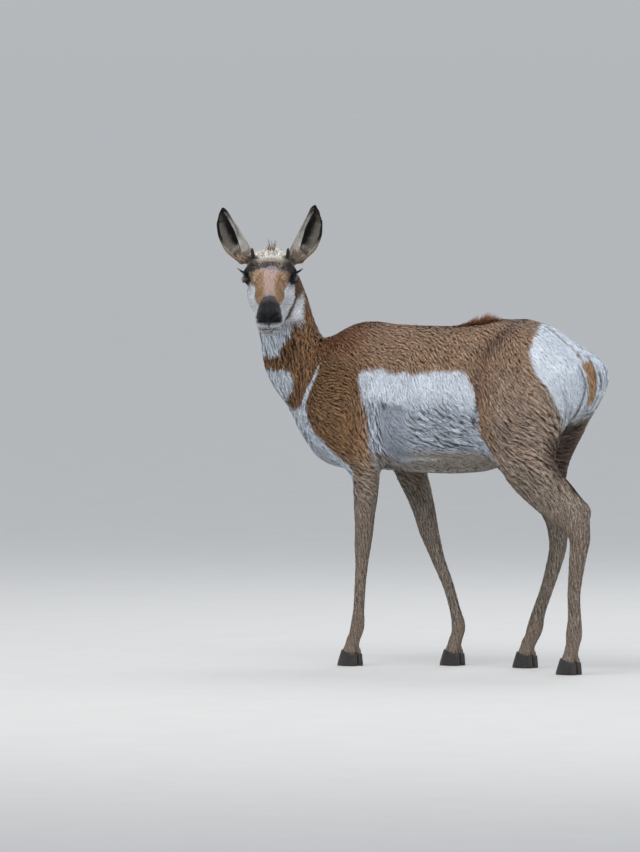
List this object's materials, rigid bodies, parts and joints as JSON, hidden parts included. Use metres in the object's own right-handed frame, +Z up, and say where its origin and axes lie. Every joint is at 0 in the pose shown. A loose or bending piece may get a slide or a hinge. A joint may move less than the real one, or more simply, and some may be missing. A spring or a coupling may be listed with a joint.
{
  "type": "pronghorn",
  "caption": "Standing adult female pronghorn with its head turned back to the left, short horn spikes and a wet winter coat, as a still life-size figure.",
  "frame": {"origin": "middle of the bounding box at ground level, under the soles", "axes": "+Z up from the ground; -Y the way the body faces, from rump to chest; +X the animal's left, the side its head is turned to"},
  "size_m": [0.3464, 1.118, 1.1566],
  "materials": {
    "coat": "short dense wet hair, reddish tan above, white on the flank, belly and rump",
    "face_coat": "very short hair, tan with a dark brow and nose and white cheeks",
    "leg_coat": "short flat hair, pale greyish tan",
    "ear_coat": "short dark hair with pale hair along the inner edge",
    "eye": "wet and glossy, near black",
    "horn": "black horn, dull sheen",
    "hoof": "dark horn, dull sheen"
  },
  "bodies": {
    "root": {"head": "face_coat", "neck": "coat", "trunk": "coat", "tail": "coat", "leg_front_left": "leg_coat", "leg_front_right": "leg_coat", "leg_hind_left": "leg_coat", "leg_hind_right": "leg_coat", "ear_left": "ear_coat", "ear_right": "ear_coat", "eye_left": "eye", "eye_right": "eye", "horn_left": "horn", "horn_right": "horn", "hoof_front_left_inner": "hoof", "hoof_front_left_outer": "hoof", "hoof_front_right_inner": "hoof", "hoof_front_right_outer": "hoof", "hoof_hind_left_inner": "hoof", "hoof_hind_left_outer": "hoof", "hoof_hind_right_inner": "hoof", "hoof_hind_right_outer": "hoof"}
  },
  "joints": []
}
